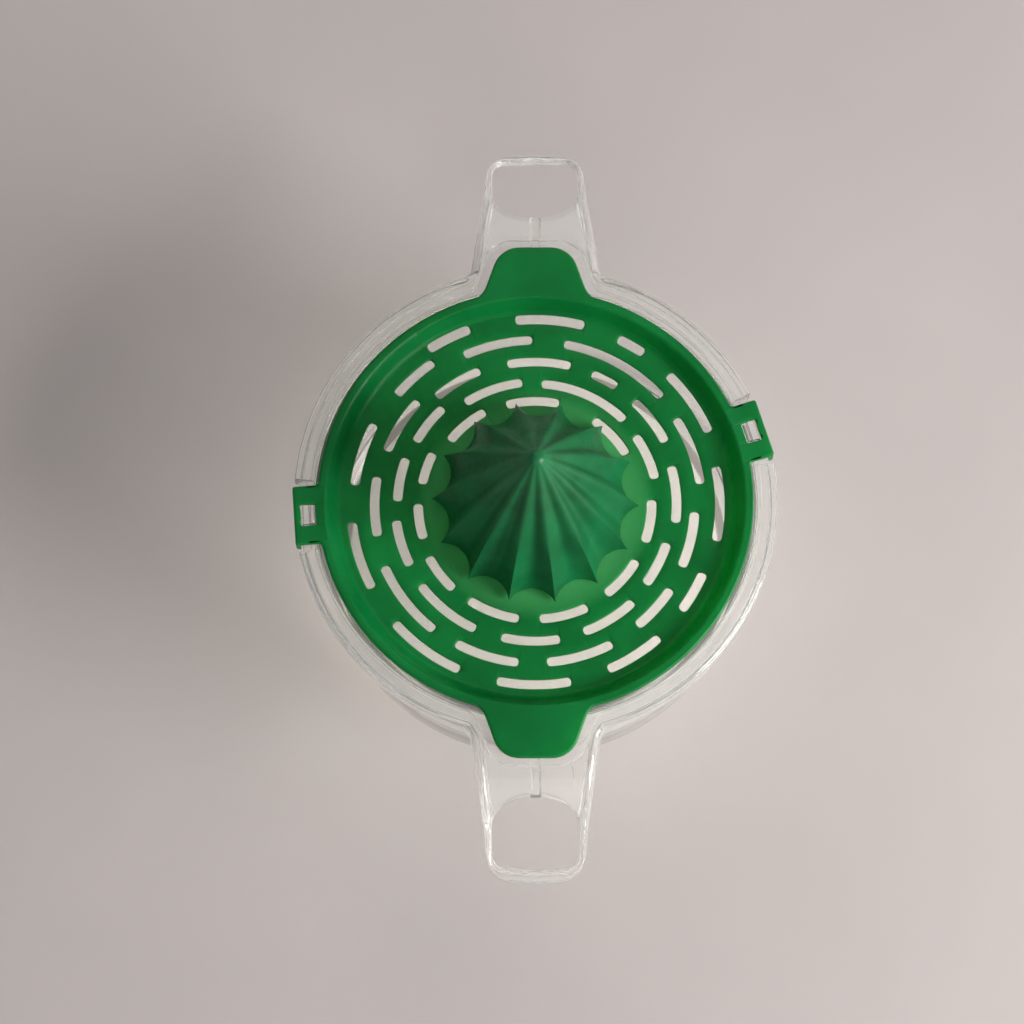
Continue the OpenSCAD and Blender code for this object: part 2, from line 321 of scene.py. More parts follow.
def jug():
    """The jug: rows from the middle of its bottom, up its outside, under the flange and handles, round
    their skirt, over the top, down the seat and the inside to the middle of its floor."""
    window = window_outline()
    bearing = np.arctan2(window[:, 1], window[:, 0])
    widest = int(np.argmax(bearing))
    edge = bearing[widest]
    angle = jug_angles(edge)
    off = np.abs(wrap(angle - pi / 2, pi))
    ear = np.min(np.abs(wrap(angle[:, None] - EAR_ANGLES)), 1)
    at_ear = ear < np.radians(8.95)

    dense_off = np.abs(wrap(Outline.turn - pi / 2, pi))
    rim = Outline(radius_from(handle_outline(), dense_off, FLANGE_R))
    seat = Outline(radius_from(tab_outline(SEAT_R - LIP_R), dense_off, SEAT_R))
    on_handle = np.clip((np.radians(17.5) - off) / np.radians(3), 0, 1)
    on_handle = on_handle * on_handle * (3 - 2 * on_handle)
    room = np.interp(np.degrees(off), [0, 4, 6.5, 8, 9, 9.6, 10.5], [3.3, 3.1, 2.3, 1.65, 2.4, 3.5, 9])
    wall = np.minimum(RIM_WALL + (HANDLE_WALL - RIM_WALL) * on_handle, 0.72 * room)
    soft_in = np.minimum(0.8, 0.22 * room)
    crown = np.minimum(EDGE_ROUND + 1.9 * on_handle, 0.9 * room)

    top_line = bent(JUG_TOP, PAST_END_Z, HANDLE_BEND, BEND_ROUND)
    under_line = bent(FLANGE_UNDER, PAST_END_Z - HANDLE_PLATE, HANDLE_BEND - 1, BEND_ROUND)
    skirt_line = bent(ROOT_Z, PAST_END_Z - HANDLE_SKIRT, HANDLE_BEND + 3, 20)
    skirt_share = np.clip((np.radians(26) - off) / np.radians(9), 0, 1)

    def y_at(radius):
        return np.abs(radius * np.sin(angle))

    def top_z(radius):
        return curve(y_at(radius), top_line)

    def under_z(radius):
        return curve(y_at(radius), under_line)

    def skirt_z(radius):
        return SKIRT_END + (curve(y_at(radius), skirt_line) - SKIRT_END) * skirt_share

    inner = np.interp(off, bearing[:widest + 1], np.hypot(*window[:widest + 1].T))
    outer = np.interp(off, bearing[widest:][::-1], np.hypot(*window[widest:].T)[::-1])
    reach = np.hypot(*window[widest])
    opened = off <= edge + 1e-9
    hole = opened & np.roll(opened, -1)

    def from_window(radius):
        """Distance from each point of a row to the window's outline."""
        x, y = y_at(radius), np.abs(radius * np.cos(angle))
        near = (off < np.radians(12)) & (radius > 80)
        found = np.full(angle.shape, 99.0)
        gap = np.hypot(x[near, None] - window[:, 0], y[near, None] - window[:, 1])
        found[near] = gap.min(1) if near.any() else 99.0
        return found

    skin = Skin(angle)
    ear_shift = np.where(at_ear, FLANGE_R - EAR_CUT / np.cos(np.minimum(ear, 0.2)), 0)

    def split(low, high):
        """The two edges of the window on a sheet between two radii, and their common line elsewhere."""
        share = np.clip((reach - low) / np.maximum(high - low, 0.1), 0.2, 0.8)
        at_edge = np.interp(edge, *np.column_stack([off, share])[np.argsort(off)].T)
        common = low + (high - low) * at_edge
        return np.where(opened, inner, common), np.where(opened, outer, common)

    # bottom and outside
    for radius, height in [(0, BASE_RECESS), (26, BASE_RECESS), (53, BASE_RECESS), (54.4, 0.5), (55.6, 0.1),
                           (56.4, 0.0), (FOOT_R, 0.0)]:
        skin.row(radius, height)
    for cos, sin in quarter(7)[::-1][1:]:
        skin.row(FOOT_R + FOOT_ROUND * (1 - cos), FOOT_ROUND * sin)
    for height in (12, 26, 40, 54, 66.2):
        skin.row(BASE_R + (BODY_R - BASE_R) * height / JUG_TOP, height)
    for cos, sin in quarter(5)[1:]:
        skin.row(BODY_R + 1.5 * cos, FLANGE_UNDER - 1.5 * sin)

    # underside of the flange and the handles' plates, with the rib that stiffens each handle
    rib = off < np.radians(0.8)
    rib_line = np.array([[60, 63.0], [78.5, 63.0], [88, 63.5]])

    def ribbed(radius, height):
        lowered = np.minimum(height, curve(y_at(radius), rib_line))
        return np.where(rib & (y_at(radius) < STIFFENER_END), lowered, height)

    end_under = rim.inset(wall + soft_in, angle) - ear_shift
    end_under = np.where(opened, np.maximum(end_under, outer + 0.35), end_under)
    low = np.full(angle.shape, BODY_R + 1.5)
    a, b = split(low, end_under)
    for share in (0.02, 0.2, 0.4, 0.6, 0.8, 0.93):
        radius = low + (a - 0.3 - low) * share
        skin.row(radius, ribbed(radius, under_z(radius)))
    for gap in (0.3, 0.0):
        radius = a - gap
        skin.row(radius, ribbed(radius, under_z(radius) + np.where(opened, 0.3 - gap, 0)))
    under_a = len(skin.radius) - 1
    skin.gaps.add(under_a)
    for gap in (0.0, 0.3):
        radius = b + gap
        skin.row(radius, under_z(radius) + np.where(opened, 0.3 - gap, 0))
    under_b = under_a + 1
    for share in (0.35, 0.7):
        radius = b + 0.3 + (end_under - b - 0.3) * share
        skin.row(radius, under_z(radius))

    # skirt
    for cos, sin in quarter(4)[::-1]:
        radius = rim.inset(wall + soft_in * cos, angle) - ear_shift
        radius = np.where(opened, np.maximum(radius, outer + 0.4), radius)
        skin.row(radius, under_z(radius) - np.where(at_ear, 0.02, 0.8) * (1 - sin))
    inside, outside = rim.inset(wall, angle) - ear_shift, rim.inset(0.0, angle) - ear_shift
    inside = np.where(opened, np.maximum(inside, outer + 0.45), inside)
    end_z = np.where(at_ear, FLANGE_UNDER - 0.05, skirt_z(outside))
    soft = np.where(at_ear, 0.0, 0.8)
    for t in np.linspace(0, pi, 8):
        radius = inside + (outside - inside) * (1 - np.cos(t)) / 2
        skin.row(radius, end_z + soft * (1 - np.sin(t)))
    top_here = np.where(at_ear, EAR_SEAT_Z, top_z(outside))
    rise = top_here - crown * np.where(at_ear, 0.3, 1) - (end_z + soft)
    for share in (0.35, 0.7):
        skin.row(outside, end_z + soft + rise * share)

    # rounded top edge
    first_top = len(skin.radius)
    for cos, sin in quarter(8):
        radius = rim.inset(crown * cos, angle)
        radius = np.where(opened, np.maximum(radius, outer + 0.3), radius)
        drop = crown * np.where(at_ear, 0.3, 1) * sin
        skin.row(radius - ear_shift, np.where(at_ear, EAR_SEAT_Z, top_z(radius)) - drop)

    # top sheet, with the finger windows
    start, stop = rim.inset(crown, angle), seat.inset(-0.4, angle)
    start = np.where(opened, np.maximum(start, outer + 0.3), start)
    a, b = split(stop, start)
    soft_edge = 0.8
    beyond, within = np.minimum(soft_edge, 0.6 * (start - b)), np.minimum(soft_edge, 0.6 * (a - stop))
    for share in (0.3, 0.65):
        radius = start + (b + beyond - start) * share
        skin.row(radius, top_z(radius) - fall(from_window(radius), soft_edge))
    for share in (1, 0.5, 0.15, 0):
        radius = b + beyond * share
        skin.row(radius, top_z(radius) - fall(from_window(radius), soft_edge))
    top_b = len(skin.radius) - 1
    skin.gaps.add(top_b)
    top_a = top_b + 1
    for share in (0, 0.15, 0.5, 1):
        radius = a - within * share
        skin.row(radius, top_z(radius) - fall(from_window(radius), soft_edge))
    for share in (0.2, 0.4, 0.6, 0.8, 0.92):
        radius = (a - within) + (stop - a + within) * share
        skin.row(radius, top_z(radius) - fall(from_window(radius), soft_edge))

    # seat of the strainer
    for cos, sin in quarter(4)[::-1]:
        radius = seat.inset(-0.4 * cos, angle)
        skin.row(radius, top_z(radius) - 0.4 * (1 - sin))
    for cos, sin in quarter(4):
        radius = seat.inset(0.3 * cos, angle)
        skin.row(radius, SEAT_Z + 0.3 * sin)
    start = seat.inset(0.3, angle)
    for share in (0.3, 0.65):
        skin.row(start + (MOUTH_R + 0.5 - start) * share, SEAT_Z)
    last_seat = skin.row(MOUTH_R + 0.5, SEAT_Z)

    # where an ear lies, the rim is cut down to the seat, and a lug stands up in the ear's window
    first_flat = first_top + 8
    count = last_seat - first_flat + 1
    spread = np.interp(np.linspace(0, 1, count), [0, 0.1, 0.14, 0.2, 0.3, 0.6, 0.7, 0.76, 0.8, 1],
                       [68.6, 68.44, 68.38, 68.1, 67.5, 65.8, 65.3, 65.02, 64.96, 63.5])
    lug_long = np.interp(np.degrees(ear), [0, 2.1, 2.35, 2.39], [1, 1, 0.86, 0])
    for k in range(count):
        lug_wide = np.interp(spread[k], [64.97, 65.01, 65.3, 68.1, 68.39, 68.43], [0, 0.86, 1, 1, 0.86, 0])
        at = first_flat + k
        skin.radius[at] = np.where(at_ear, spread[k], skin.radius[at])
        skin.height[at] = np.where(at_ear, EAR_SEAT_Z + LUG_RISE * lug_wide * lug_long, skin.height[at])

    # inside
    for cos, sin in quarter(5)[::-1][1:]:
        skin.row(MOUTH_R + 0.5 * cos, SEAT_Z - 0.5 * (1 - sin))
    low_r = BASE_R - RIM_WALL
    for height in (58, 44, 30, 16, 7.3):
        skin.row(low_r + (MOUTH_R - low_r) * (height - JUG_FLOOR) / (SEAT_Z - JUG_FLOOR), height)
    for cos, sin in quarter(7)[1:]:
        skin.row(low_r + 0.1 - FLOOR_ROUND * cos, JUG_FLOOR + FLOOR_ROUND * sin)
    for radius in (52, 36, 18, 0):
        skin.row(radius, JUG_FLOOR)

    skin.walls += [(under_a, top_a, hole), (top_b, under_b, hole)]
    skin.walls += [(under_a, under_b, ~hole), (top_b, top_a, ~hole)]
    return skin.build("clear_jug")


# ---- Strainer ----------------------------------------------------------------------------

def slot_list():
    """Every slot as row, radius, middle angle and half angle; the rows drift in and out with the angle."""
    drift = np.array(ROW_DRIFT, float)
    for row, slots in enumerate(ROWS):
        for first, last in slots:
            radius = ROW_R[row] + np.interp((first + last) / 2, drift[:, 0], drift[:, 1])
            yield row, radius, np.radians(SEAM + (first + last) / 2), np.radians(last - first) / 2


SLOTS = [list(s) for s in slot_list()]
SLOT_POWER = 2.6


def strainer_angles():
    """Angles for the strainer's grid: close together at the slots' ends, the tabs, the ears and the key."""
    ends = np.array([-0.25, 0.0, 0.03, 0.25, 0.7, 1.4])
    marks = [np.radians(np.arange(-180, 180, 3.0))]
    for _, radius, mid, half in SLOTS:
        marks += [mid - half + ends / radius, mid + half - ends / radius]
    ear = np.radians([0, 1.1, 1.33, 1.5, 1.93, 2.35, 2.53, 2.7, 2.76, 2.79, 2.81, 4, 6, 6.5, 6.8, 6.95, 7.04,
                      7.12, 7.2, 7.22, 7.4, 7.65, 7.85, 8.1, 8.5, 9.1])
    for e in EAR_ANGLES:
        marks.append(e + np.r_[-ear[1:], ear])
    tab = np.radians(np.r_[2, 4, 5, np.arange(5.5, 16.5, 0.5), 17.5, 19])
    for side in (pi / 2, -pi / 2):
        marks.append(side + np.r_[-tab, tab])
    every = np.sort(wrap(np.concatenate(marks)))
    return every[np.r_[True, np.diff(every) > np.radians(0.01)]]


def profile(points, step=0.02):
    """A section's line from rows of radius, height and rounding, read as height by radius."""
    return dense(rounded(points, 20)[20:-20], step)


def strainer():
    """The strainer: rows from the top of the post's bore, under the floor and out under the lip, round the
    ears' turned-down ends, over the lip, down the dish, across the slotted floor and up the post."""
    angle = strainer_angles()
    off = np.abs(wrap(angle - pi / 2, pi))
    ear = np.min(np.abs(wrap(angle[:, None] - EAR_ANGLES)), 1)
    turn = Outline.turn
    outline = radius_from(tab_outline(0), np.abs(wrap(turn - pi / 2, pi)), LIP_R)
    for e in EAR_ANGLES:
        outline = np.maximum(outline, radius_from(ear_outline(), wrap(turn - e), 0))
    lip = Outline(outline)
    edge = lip.inset(0.0, angle)

    top_line = profile([[5, 67.05, 0], [SHOULDER_R, FLOOR_MID_Z, 0], [FLOOR_R, FLOOR_EDGE_Z, 1.8],
                        [LIP_IN, JUG_TOP, 0.7], [80, JUG_TOP, 0], [90, JUG_TOP, 0]])
    under_line = profile([[5, 65.82, 0], [POST_BORE, FLOOR_UNDER, 0], [FLOOR_R - 2, 65.3, 2.5],
                          [62.4, LIP_UNDER, 0.3], [80, LIP_UNDER, 0], [90, LIP_UNDER, 0]])

    centres, halves = [], []
    for row in range(len(ROWS)):
        mine = [s for s in SLOTS if s[0] == row]
        stops = np.array([[m + k * h, r] for _, r, m, h in mine for k in (-1, 1)])
        stops[:, 0] = wrap(stops[:, 0])
        stops = stops[np.argsort(stops[:, 0])]
        centre = np.interp(angle, stops[:, 0], stops[:, 1], period=2 * pi)
        half = np.zeros(angle.shape)
        for _, r, m, h in mine:
            along = np.maximum(np.abs(wrap(angle - m)) * r - (h * r - SLOT_HALF), 0) / SLOT_HALF
            half = np.maximum(half, SLOT_HALF * np.maximum(1 - along ** SLOT_POWER, 0) ** (1 / SLOT_POWER))
        centres.append(centre)
        halves.append(np.where(half < 0.03, 0, half))

    def from_slot(row, radius):
        """Distance from a row's points to the nearest slot's edge, by the slot's own rounded-box measure."""
        best = np.full(angle.shape, 99.0)
        for _, r, m, h in [s for s in SLOTS if s[0] == row]:
            along = np.maximum(np.abs(wrap(angle - m)) * r - (h * r - SLOT_HALF), 0)
            across = np.abs(radius - r)
            reach = (along ** SLOT_POWER + across ** SLOT_POWER) ** (1 / SLOT_POWER)
            best = np.minimum(best, reach - SLOT_HALF)
        return np.maximum(best, 0)

    bevel = 0.3

    def floor_z(row, radius):
        return curve(radius, top_line) - fall(from_slot(row, radius), bevel)

    coarse = np.radians(np.r_[np.arange(-180, -8, 4.0), -7.9, -7.6, 0, 7.6, 7.9, np.arange(12, 180, 4.0)])
    hub = coarse[np.argmin(np.abs(wrap(angle[:, None] - coarse)), 1)]

    skin = Skin(angle)

    # bore and underside of the floor, inwards to outwards
    skin.row(0, 90.8, hub)
    skin.row(POST_BORE - 0.6, 90.8, hub)
    skin.row(POST_BORE, 90.2, hub)
    skin.row(POST_BORE, 78, hub)
    skin.row(POST_BORE, FLOOR_UNDER + 0.3, hub)
    skin.row(POST_BORE + 0.3, FLOOR_UNDER, hub)
    skin.row(16, curve(16, under_line))
    under = []
    for c, h in zip(centres, halves):
        k = skin.row(c - h, curve(c - h, under_line))
        skin.gaps.add(k)
        skin.row(c + h, curve(c + h, under_line))
        under.append((k, k + 1))
    low = centres[-1] + halves[-1]
    for share in (0.12, 0.25, 0.4, 0.6, 0.8, 1.0):
        radius = low + (62.1 - low) * share
        skin.row(radius, curve(radius, under_line))

    # an ear's window, as two edges about the middle of the ear's plate
    slant = 1 / np.cos(np.minimum(ear, 0.2))
    side = np.tan(np.minimum(ear, 0.2)) * EAR_WINDOW_R
    wide = EAR_WINDOW_HALF * np.maximum(1 - (side / EAR_WINDOW_SIDE) ** 14, 0) ** (1 / 14)
    notch = np.sqrt(np.maximum(0.49 - (np.abs(side) - 2.25) ** 2, 0)) * (wide > 0)
    in_ear = ear < np.radians(7.5)
    open_ear = wide > 0.05
    mid = np.where(in_ear, np.minimum(EAR_WINDOW_R * slant, edge - 1.6), 62.4 + (edge - 62.4) * 0.45)
    wide = np.where(open_ear, wide, 0)
    notch = np.where(open_ear, notch, 0)
    near, far = mid - wide * slant, mid + (wide + notch) * slant
    hook_in = np.where(in_ear, np.minimum(HOOK_IN * slant, edge - 0.002), edge - 0.4)
    hook = in_ear & (HOOK_IN * slant < edge - 0.01)
    start = 62.9
    skin.row(start, LIP_UNDER)
    skin.row(start + (near - start) * 0.6, LIP_UNDER)
    ear_under = skin.row(near, LIP_UNDER)
    skin.gaps.add(ear_under)
    skin.row(far, LIP_UNDER)
    skin.row(far + (hook_in - far) * 0.6, LIP_UNDER)
    hook_z = np.where(hook, HOOK_Z, LIP_UNDER)
    soft = np.where(hook, 0.35, 0.15)
    skin.row(hook_in - np.where(hook, 0.4, 0.15), LIP_UNDER)
    skin.row(hook_in, np.where(hook, LIP_UNDER - 0.4, LIP_UNDER))
    skin.row(hook_in, np.where(hook, HOOK_Z + 0.5, LIP_UNDER))
    width = edge - hook_in
    for t in np.linspace(0, pi, 6)[1:]:
        lift = np.where(hook, 1 - np.sin(t), max(0, -np.cos(t)))
        skin.row(hook_in + width * (1 - np.cos(t)) / 2, hook_z + soft * lift)
    skin.row(edge, (hook_z + soft) * 0.5 + 71.2 * 0.5)

    # the lip's outer rounding and its top
    for cos, sin in quarter(6):
        skin.row(lip.inset(0.7 * cos, angle), JUG_TOP - np.where(in_ear, 0.1, 0) - 0.7 * sin)
    outer = lip.inset(0.7, angle)
    high = JUG_TOP - np.where(in_ear, 0.1, 0)

    def ear_fall(radius):
        box = np.maximum(np.abs(radius / slant - EAR_WINDOW_R) - EAR_WINDOW_HALF, side - EAR_WINDOW_SIDE)
        return np.where(in_ear, fall(np.maximum(box, 0), 0.25), 0)

    skin.row(outer + (far + 0.25 - outer) * 0.5, high)
    for gap in (0.25, 0.08, 0.0):
        skin.row(far + gap, high - ear_fall(far + gap))
    ear_top = len(skin.radius) - 1
    skin.gaps.add(ear_top)
    for gap in (0.0, 0.08, 0.25):
        skin.row(near - gap, high - ear_fall(near - gap))
    skin.row(62.45, high)
    skin.row(62.2, JUG_TOP)

    # inside of the dish down to the outermost row of slots
    low = centres[-1] + halves[-1] + bevel
    for share in (0.0, 0.1, 0.2, 0.3, 0.42, 0.54, 0.66, 0.76, 0.84, 0.92):
        radius = 61.9 + (low - 61.9) * share
        skin.row(radius, curve(radius, top_line))
    top = []
    for row in range(len(ROWS) - 1, -1, -1):
        c, h = centres[row], halves[row]
        for gap in (bevel, 0.1, 0.0):
            skin.row(c + h + gap, floor_z(row, c + h + gap))
        k = len(skin.radius) - 1
        skin.gaps.add(k)
        for gap in (0.0, 0.1, bevel):
            skin.row(c - h - gap, floor_z(row, c - h - gap))
        top.append((k + 1, k))
        if row:
            half_way = (c - h + centres[row - 1] + halves[row - 1]) / 2
            skin.row(half_way, curve(half_way, top_line))
    for radius in (24, 19, 15):
        skin.row(radius, curve(radius, top_line))

    # shoulder and post, with the key that stops the reamer turning
    for cos, sin in quarter(4)[::-1]:
        skin.row(SHOULDER_R + 0.8 * cos, FLOOR_MID_Z + 0.8 * sin, hub)
    for cos, sin in quarter(4):
        skin.row(SHOULDER_R - 0.4 * cos, 69.4 - 0.4 * sin, hub)
    keyed = np.abs(wrap(hub)) < np.radians(7.7)
    shaft = np.where(keyed, 8.6, POST_R)
    for radius, height in [(9.6, 69.4), (8.8, 69.4), (shaft, 69.5), (shaft, 76), (shaft, 83.7),
                           (np.where(keyed, 8.3, POST_R), 84.0), (POST_R, 84.02), (POST_R, 88)]:
        skin.row(radius, height, hub)
    for cos, sin in quarter(5):
        skin.row(POST_R - 1.2 * cos, POST_TOP - 1.2 * sin, hub)
    skin.row(0, POST_TOP, hub)

    for row in range(len(ROWS)):
        opened = (halves[row] > 0) | (np.roll(halves[row], -1) > 0)
        (ua, ub), (ta, tb) = under[row], top[len(ROWS) - 1 - row]
        skin.walls += [(ua, ta, opened), (tb, ub, opened)]
        skin.walls += [(ua, ub, ~opened), (tb, ta, ~opened)]
    opened = open_ear | np.roll(open_ear, -1)
    skin.walls += [(ear_under, ear_top + 1, opened), (ear_top, ear_under + 1, opened)]
    return skin.build("green_strainer")


# ---- Reamer ------------------------------------------------------------------------------

def reamer():
    """The reamer: rows from the top of its socket's bore, down and round the socket's end, up to the
    hollow behind the flutes, out to the rim, and up the flutes to the rounded point. A flute is a
    circular hollow at the base, and higher up the section becomes a plain wave with soft ribs."""
    steps = 28
    first_rib = np.radians(-2)
    angle = np.sort(wrap(first_rib + np.arange(RIBS * steps) * 2 * pi / (RIBS * steps)))
    half = pi / RIBS
    from_rib = np.abs(wrap(angle - first_rib, 2 * half))
    chord = RIB_R ** 2 + FLUTE_R ** 2 - 2 * RIB_R * FLUTE_R * np.cos(half)
    flute_arc = chord / (2 * (RIB_R * np.cos(half) - FLUTE_R))
    centre = FLUTE_R + flute_arc

    def section(soften):
        """Radius of the fluted section, from circular hollows between edges to an even wave."""
        a = half - np.sqrt(from_rib ** 2 + np.radians(0.12) ** 2)
        a = np.clip(a, 0, half)
        hollow = centre * np.cos(a) - np.sqrt(flute_arc ** 2 - (centre * np.sin(a)) ** 2)
        wave = WAVE_R + (2.3 - 0.5 * soften) * np.cos(RIBS * from_rib)
        return hollow + (wave - hollow) * soften

    def taper(t):
        """Share of the base's radius that is left at a share of the height: a cone with bulging sides."""
        return (1 - t) * (1 + BULGE * t)

    skin = Skin(angle)
    way = np.abs(wrap(angle)) < np.radians(9.2)
    bore = np.where(way, 8.9, SOCKET_BORE)
    join = 0.62
    for radius, height in [
            (0, SOCKET_ROOF), (SOCKET_BORE - 0.3, SOCKET_ROOF), (SOCKET_BORE, SOCKET_ROOF - 0.3),
            (SOCKET_BORE, 85.02), (bore, 85.0), (bore, 78), (bore, SOCKET_Z + 0.3),
            (bore + 0.3, SOCKET_Z), (SOCKET_R - 0.4, SOCKET_Z), (SOCKET_R, SOCKET_Z + 0.4),
            (SOCKET_R, 84), (SOCKET_R, REAMER_Z + join * REAMER_H - 1)]:
        skin.row(radius, height)
    for t in (join, 0.5, 0.38, 0.26, 0.14, 0.05):
        skin.row(np.maximum(FLUTE_R * taper(t) - SHELL, SOCKET_R + 0.3), REAMER_Z + t * REAMER_H)
    skin.row(FLUTE_R - SHELL, REAMER_Z + 0.3)
    base = section(0)
    for inwards, up in [(1.6, 0.05), (0.6, 0.0), (0.15, 0.12)]:
        skin.row(base - inwards, REAMER_Z + up)
    ball_z = REAMER_H - 1.82 * TIP_R
    top = ball_z + TIP_R
    for t in np.sin(np.linspace(0, pi / 2, 48)) * top / REAMER_H:
        up = max(t, 0.006) * REAMER_H
        soften = np.clip(t / 0.5, 0, 1) ** 0.8
        fade = np.clip((t - 0.62) / 0.34, 0, 1) ** 1.4
        radius = (section(soften) * (1 - fade) + TIP_RING_R * fade) * taper(t)
        if up > ball_z + 0.55 * TIP_R:
            radius = np.minimum(radius, np.sqrt(max(TIP_R ** 2 - (up - ball_z) ** 2, 0)))
        skin.row(radius, REAMER_Z + up)
    skin.row(0, REAMER_Z + top)
    return skin.build("green_reamer")


# ---- Finishes ----------------------------------------------------------------------------

def finish_base(name):
    """An empty node material: gives it with its nodes, links, output, shader and the piece's coordinates."""
    material = bpy.data.materials.new(name)
    material.use_nodes = True
    nodes, links = material.node_tree.nodes, material.node_tree.links
    nodes.clear()
    output = nodes.new("ShaderNodeOutputMaterial")
    shader = nodes.new("ShaderNodeBsdfPrincipled")
    place = nodes.new("ShaderNodeTexCoord")
    links.new(shader.outputs[0], output.inputs["Surface"])
    return material, nodes, links, output, shader, place.outputs["Object"]


def noise(nodes, links, place, scale, detail=2.0, rough=0.5):
    """A noise pattern of so many cells to the metre."""
    node = nodes.new("ShaderNodeTexNoise")
    node.inputs["Scale"].default_value = scale
    node.inputs["Detail"].default_value = detail
    node.inputs["Roughness"].default_value = rough
    links.new(place, node.inputs["Vector"])
    return node.outputs["Fac"]


def ramp(nodes, links, value, low, high, start=0.3, end=0.7):
    """A blend from one colour or number to another as a pattern goes from start to end."""
    node = nodes.new("ShaderNodeValToRGB")
    node.color_ramp.elements[0].position = start
    node.color_ramp.elements[1].position = end
    node.color_ramp.elements[0].color = (*low, 1) if hasattr(low, "__len__") else (low, low, low, 1)
    node.color_ramp.elements[1].color = (*high, 1) if hasattr(high, "__len__") else (high, high, high, 1)
    links.new(value, node.inputs[0])
    return node.outputs[0]


def bump(nodes, links, shader, pattern, strength, depth):
    """Fine relief of a given depth in metres, from a pattern."""
    node = nodes.new("ShaderNodeBump")
    node.inputs["Strength"].default_value = strength
    node.inputs["Distance"].default_value = depth
    links.new(pattern, node.inputs["Height"])
    links.new(node.outputs[0], shader.inputs["Normal"])


def let_light_in(nodes, links, output, surface, tint):
    """Lets the lamps' light through a clear surface, a little dimmed, so that it reaches what is inside."""
    clear = nodes.new("ShaderNodeBsdfTransparent")
    clear.inputs["Color"].default_value = (*tint, 1)
    path = nodes.new("ShaderNodeLightPath")
    mix = nodes.new("ShaderNodeMixShader")
    links.new(path.outputs["Is Shadow Ray"], mix.inputs[0])
    links.new(surface, mix.inputs[1])
    links.new(clear.outputs[0], mix.inputs[2])
    links.new(mix.outputs[0], output.inputs["Surface"])


def clear_plastic():
    """Clear moulded plastic: glossy, barely hazed, with a slow waviness from the mould."""
    material, nodes, links, output, shader, place = finish_base("clear_plastic")
    shader.inputs["IOR"].default_value = 1.49
    shader.inputs["Transmission Weight"].default_value = 0.92
    wave = noise(nodes, links, place, 60)
    links.new(ramp(nodes, links, wave, (0.955, 0.965, 0.95), (0.99, 0.99, 0.98)), shader.inputs["Base Color"])
    links.new(ramp(nodes, links, noise(nodes, links, place, 220, 3), 0.03, 0.09), shader.inputs["Roughness"])
    bump(nodes, links, shader, wave, 0.15, 0.0004)
    let_light_in(nodes, links, output, shader.outputs[0], (0.88, 0.88, 0.86))
    return material


def green_plastic():
    """Green translucent plastic of the strainer: satin, a little cloudy, with a fine moulded grain, and
    a paler disc round the hub, which is a painted sheen of light and not a change in the plastic."""
    material, nodes, links, output, shader, place = finish_base("green_plastic")
    cloud = noise(nodes, links, place, 45, 3)
    colour = ramp(nodes, links, cloud, (0.002, 0.185, 0.042), (0.005, 0.26, 0.066))
    flat = nodes.new("ShaderNodeVectorMath")
    flat.operation = "MULTIPLY"
    flat.inputs[1].default_value = (1, 1, 0)
    links.new(place, flat.inputs[0])
    # Painted sheen: the colour turns paler within a disc round the hub, in place of light caught on the floor
    # there.
    reach = nodes.new("ShaderNodeVectorMath")
    reach.operation = "LENGTH"
    links.new(flat.outputs[0], reach.inputs[0])
    sheen_share = ramp(nodes, links, reach.outputs["Value"], 1.0, 0.0, *PAINTED_SHEEN_DISC)
    painted_sheen = nodes.new("ShaderNodeMix")
    painted_sheen.data_type = "RGBA"
    links.new(sheen_share, painted_sheen.inputs["Factor"])
    links.new(colour, painted_sheen.inputs["A"])
    painted_sheen.inputs["B"].default_value = (0.085, 0.46, 0.16, 1)
    links.new(painted_sheen.outputs["Result"], shader.inputs["Base Color"])
    shader.inputs["Specular IOR Level"].default_value = 0.38
    links.new(ramp(nodes, links, noise(nodes, links, place, 400, 3), 0.3, 0.42), shader.inputs["Roughness"])
    bump(nodes, links, shader, noise(nodes, links, place, 1500, 2), 0.12, 0.0001)
    through = nodes.new("ShaderNodeBsdfTranslucent")
    links.new(ramp(nodes, links, cloud, (0.05, 0.55, 0.05), (0.09, 0.7, 0.09)), through.inputs["Color"])
    mix = nodes.new("ShaderNodeMixShader")
    mix.inputs[0].default_value = 0.38
    links.new(shader.outputs[0], mix.inputs[1])
    links.new(through.outputs[0], mix.inputs[2])
    links.new(mix.outputs[0], output.inputs["Surface"])
    return material


def dark_green_plastic():
    """Green plastic of the reamer: thicker, so deeper in colour, with a soft satin shine."""
    material, nodes, links, _, shader, place = finish_base("dark_green_plastic")
    cloud = noise(nodes, links, place, 70, 3)
    colour = ramp(nodes, links, cloud, (0.001, 0.09, 0.025), (0.003, 0.165, 0.05))
    links.new(colour, shader.inputs["Base Color"])
    shader.inputs["Specular IOR Level"].default_value = 0.42
    links.new(ramp(nodes, links, noise(nodes, links, place, 500, 3), 0.36, 0.48), shader.inputs["Roughness"])
    bump(nodes, links, shader, noise(nodes, links, place, 1800, 2), 0.12, 0.0001)
    return material


def floor_finish():
    """Pale matt table top with a faint cloudy tone."""
    material, nodes, links, _, shader, place = finish_base("pale_floor")
    cloud = noise(nodes, links, place, 9, 3)
    colour = ramp(nodes, links, cloud, (0.53, 0.49, 0.48), (0.57, 0.525, 0.515))
    links.new(colour, shader.inputs["Base Color"])
    shader.inputs["Roughness"].default_value = 0.7
    return material


# ---- Pieces ------------------------------------------------------------------------------

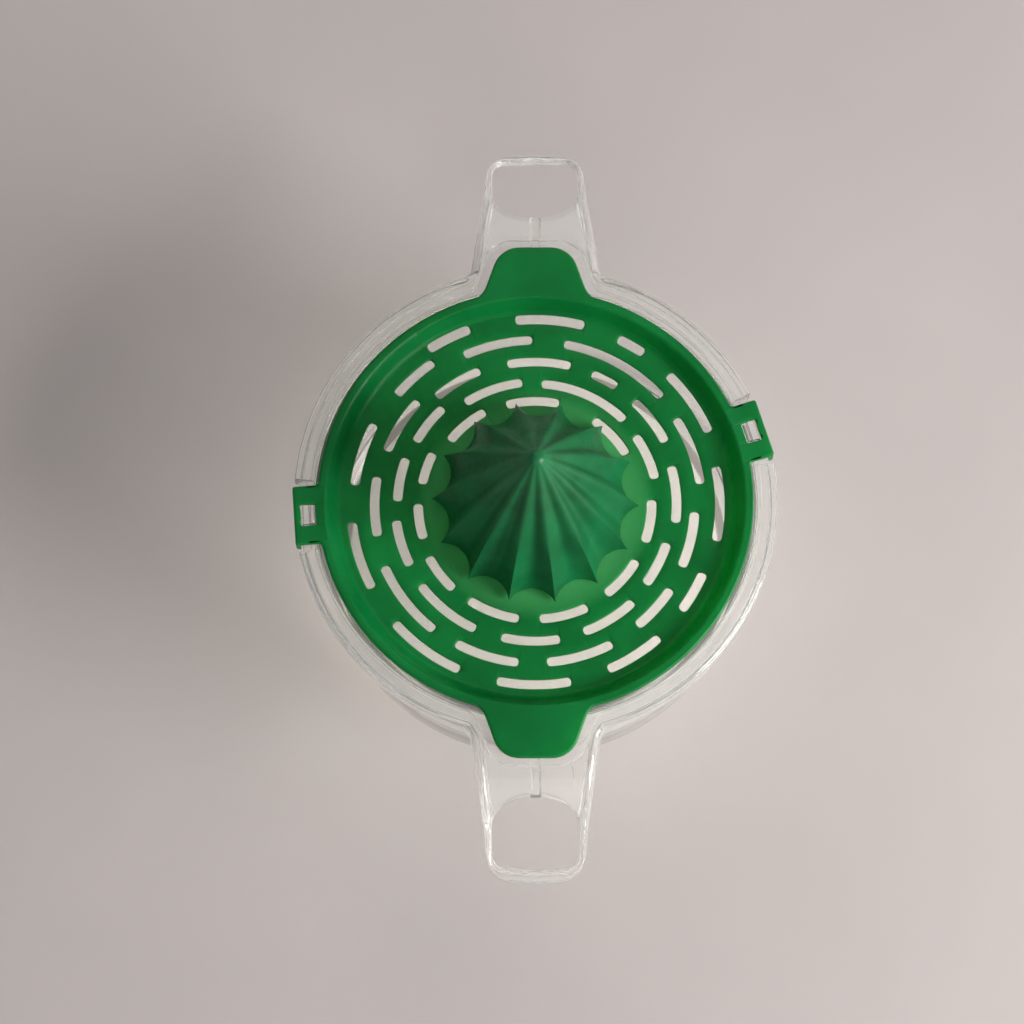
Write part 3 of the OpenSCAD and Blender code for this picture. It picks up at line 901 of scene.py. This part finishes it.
for make, body, slot, look in [
    (jug, "jug", "clear_plastic", clear_plastic),
    (strainer, "strainer", "green_plastic", green_plastic),
    (reamer, "reamer", "dark_green_plastic", dark_green_plastic),
]:
    piece = make()
    piece.data.materials.append(look())
    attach(piece, body)
    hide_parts(body)

# ---- Floor, light and camera -------------------------------------------------------------

FLOOR_HALF = 3
floor_mesh = bpy.data.meshes.new("floor")
floor_mesh.from_pydata([(x * FLOOR_HALF, y * FLOOR_HALF, 0) for x, y in [(-1, -1), (1, -1), (1, 1), (-1, 1)]],
                       [], [(0, 1, 2, 3)])
floor = bpy.data.objects.new("floor", floor_mesh)
floor_mesh.materials.append(floor_finish())
bpy.context.scene.collection.objects.link(floor)


def soft_light(name, place, target, size, power, colour):
    """A square area light that faces a point."""
    light = bpy.data.lights.new(name, "AREA")
    light.size, light.energy, light.color = size, power, colour
    lamp = bpy.data.objects.new(name, light)
    lamp.location = place
    lamp.rotation_euler = (Vector(target) - Vector(place)).to_track_quat("-Z", "Y").to_euler()
    bpy.context.scene.collection.objects.link(lamp)
    return lamp


soft_light("window_light", (1.05, -0.42, 0.62), (0.0, 0, 0.02), 0.6, 20, (1.0, 0.97, 0.95))
soft_light("room_light", (0.1, 1.15, 0.95), (0, 0.1, 0), 1.2, 3.5, (1.0, 0.985, 0.98))
soft_light("front_light", (0.1, -1.2, 0.95), (0, -0.1, 0), 1.2, 3.5, (1.0, 0.985, 0.98))

world = bpy.data.worlds.new("room")
world.use_nodes = True
world.node_tree.nodes["Background"].inputs[0].default_value = (0.93, 0.9, 0.89, 1)
world.node_tree.nodes["Background"].inputs[1].default_value = 0.24
bpy.context.scene.world = world
bpy.context.scene.view_settings.view_transform = "Standard"

AIM = Vector((-0.0069, -0.0039, 0.072))
TILT = np.radians(13.5)
DISTANCE = 1.5
lens = bpy.data.cameras.new("camera")
lens.lens = 180
lens.sensor_width = 36
lens.clip_start, lens.clip_end = 0.1, 20
camera = bpy.data.objects.new("camera", lens)
camera.location = AIM + DISTANCE * Vector((0, -np.sin(TILT), np.cos(TILT)))
camera.rotation_euler = (TILT, 0, 0)
bpy.context.scene.collection.objects.link(camera)
bpy.context.scene.camera = camera
